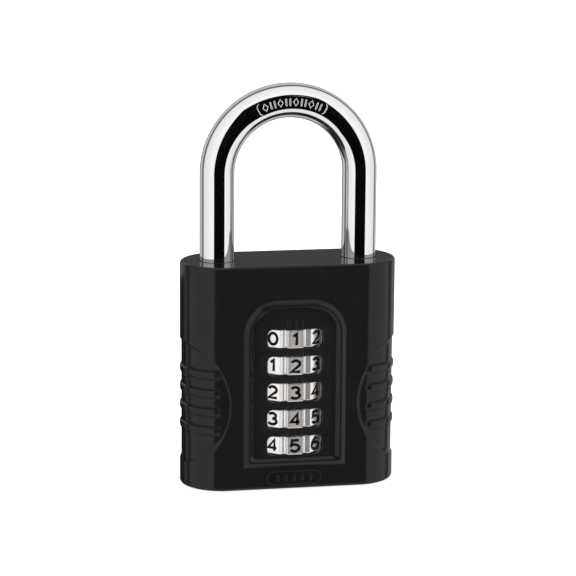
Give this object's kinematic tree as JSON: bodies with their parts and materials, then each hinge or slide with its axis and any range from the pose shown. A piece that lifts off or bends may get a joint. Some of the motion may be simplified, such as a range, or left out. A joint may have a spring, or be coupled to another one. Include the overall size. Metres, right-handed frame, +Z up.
{
  "type": "combination padlock",
  "caption": "Combination padlock with a broad flat casing, gripped sides, a framed column of code wheels on the front and a long round steel shackle that lifts from the top.",
  "frame": {"origin": "centre of the casing's flat underside", "axes": "+Z up along the shackle's legs, +X towards the heel leg, the code wheels face -Y"},
  "size_m": [0.065, 0.026, 0.1206],
  "materials": {
    "black_coat": "glossy black coat over cast zinc",
    "mirror_chrome": "polished mirror chrome on hardened steel",
    "wheel_chrome": "satin chrome with black digits",
    "plated_steel": "zinc plated steel",
    "brass": "turned brass",
    "spring_steel": "oiled spring steel"
  },
  "bodies": {
    "lock_body": {"casing": "black_coat", "back_cover": "black_coat", "cover_rivets": "black_coat", "retaining_plate": "plated_steel", "foot_bush": "brass", "reset_spring": "spring_steel", "shackle_spring": "spring_steel", "detent_spring_1": "spring_steel", "detent_spring_2": "spring_steel", "detent_spring_3": "spring_steel", "detent_spring_4": "spring_steel", "detent_spring_5": "spring_steel"},
    "shackle_set": {"shackle": "mirror_chrome", "yoke": "plated_steel", "spindle": "plated_steel", "spindle_ring": "spring_steel"},
    "wheel_1": {"code_wheel_1": "wheel_chrome"},
    "sleeve_1": {"clutch_sleeve_1": "brass"},
    "wheel_2": {"code_wheel_2": "wheel_chrome"},
    "sleeve_2": {"clutch_sleeve_2": "brass"},
    "wheel_3": {"code_wheel_3": "wheel_chrome"},
    "sleeve_3": {"clutch_sleeve_3": "brass"},
    "wheel_4": {"code_wheel_4": "wheel_chrome"},
    "sleeve_4": {"clutch_sleeve_4": "brass"},
    "wheel_5": {"code_wheel_5": "wheel_chrome"},
    "sleeve_5": {"clutch_sleeve_5": "brass", "thrust_washer": "plated_steel"}
  },
  "joints": [
    {"name": "shackle_lift", "type": "slide", "parent": "lock_body", "child": "shackle_set", "axis": [0, 0, 1], "range_m": [0, 0.00815], "deforming": ["shackle_spring"]},
    {"name": "wheel_1_turn", "type": "hinge", "parent": "lock_body", "child": "wheel_1", "pos_m": [0, -0.00225, 0], "axis": [0, 0, 1], "continuous": true, "deforming": ["detent_spring_1"]},
    {"name": "wheel_2_turn", "type": "hinge", "parent": "lock_body", "child": "wheel_2", "pos_m": [0, -0.00225, 0], "axis": [0, 0, 1], "continuous": true, "deforming": ["detent_spring_2"]},
    {"name": "wheel_3_turn", "type": "hinge", "parent": "lock_body", "child": "wheel_3", "pos_m": [0, -0.00225, 0], "axis": [0, 0, 1], "continuous": true, "deforming": ["detent_spring_3"]},
    {"name": "wheel_4_turn", "type": "hinge", "parent": "lock_body", "child": "wheel_4", "pos_m": [0, -0.00225, 0], "axis": [0, 0, 1], "continuous": true, "deforming": ["detent_spring_4"]},
    {"name": "wheel_5_turn", "type": "hinge", "parent": "lock_body", "child": "wheel_5", "pos_m": [0, -0.00225, 0], "axis": [0, 0, 1], "continuous": true, "deforming": ["detent_spring_5"]},
    {"name": "sleeve_1_shift", "type": "slide", "parent": "wheel_1", "child": "sleeve_1", "axis": [0, 0, 1], "range_m": [-0.0013, 0], "stiffness_N_per_m": 300, "springref_m": 0.002},
    {"name": "sleeve_2_shift", "type": "slide", "parent": "wheel_2", "child": "sleeve_2", "axis": [0, 0, 1], "range_m": [-0.0013, 0], "stiffness_N_per_m": 300, "springref_m": 0.002},
    {"name": "sleeve_3_shift", "type": "slide", "parent": "wheel_3", "child": "sleeve_3", "axis": [0, 0, 1], "range_m": [-0.0013, 0], "stiffness_N_per_m": 300, "springref_m": 0.002},
    {"name": "sleeve_4_shift", "type": "slide", "parent": "wheel_4", "child": "sleeve_4", "axis": [0, 0, 1], "range_m": [-0.0013, 0], "stiffness_N_per_m": 300, "springref_m": 0.002},
    {"name": "sleeve_5_shift", "type": "slide", "parent": "wheel_5", "child": "sleeve_5", "axis": [0, 0, 1], "range_m": [-0.0013, 0], "stiffness_N_per_m": 300, "springref_m": 0.002, "deforming": ["reset_spring"]}
  ],
  "couplings": [
    {"joint": "sleeve_2_shift", "follows": "sleeve_1_shift", "ratio": 1},
    {"joint": "sleeve_3_shift", "follows": "sleeve_1_shift", "ratio": 1},
    {"joint": "sleeve_4_shift", "follows": "sleeve_1_shift", "ratio": 1},
    {"joint": "sleeve_5_shift", "follows": "sleeve_1_shift", "ratio": 1}
  ]
}
